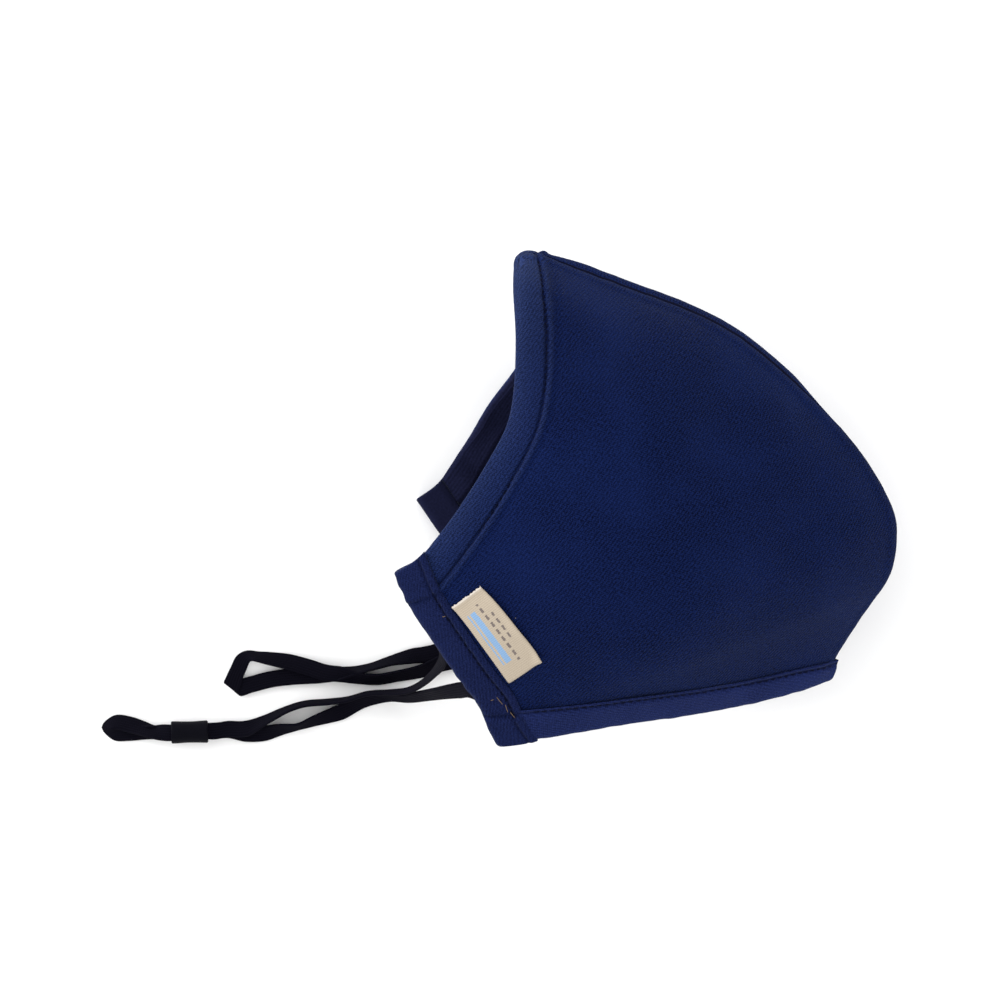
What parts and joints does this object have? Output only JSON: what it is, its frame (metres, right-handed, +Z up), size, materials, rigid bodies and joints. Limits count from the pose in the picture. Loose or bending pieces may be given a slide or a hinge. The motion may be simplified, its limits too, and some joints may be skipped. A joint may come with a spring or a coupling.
{
  "type": "child pollution mask",
  "caption": "Child's cup-shaped cloth face mask with a centre seam, bound edges and flat elastic ear loops, lying on its side.",
  "frame": {"origin": "on the surface the mask lies on, under the middle of its box without the ear loops", "axes": "+Z up, +X towards the mouth end of the cup, +Y towards its nose end; the wearer's right half is on top"},
  "size_m": [0.1907, 0.1186, 0.0795],
  "materials": {
    "twill": "navy cotton twill, matt, fine diagonal ribs",
    "folded_twill": "the same navy twill folded into bands, matt",
    "ribbon": "cream woven ribbon with faint ribs",
    "elastic": "black flat knitted elastic, soft sheen",
    "stopper_plastic": "black soft plastic tube, low sheen"
  },
  "bodies": {
    "root": {"right_panel": "twill", "left_panel": "twill", "right_chin_band": "folded_twill", "left_chin_band": "folded_twill", "right_side_band": "folded_twill", "left_side_band": "folded_twill", "label": "ribbon", "right_ear_loop": "elastic", "left_ear_loop": "elastic", "cord_stopper": "stopper_plastic"}
  },
  "joints": []
}
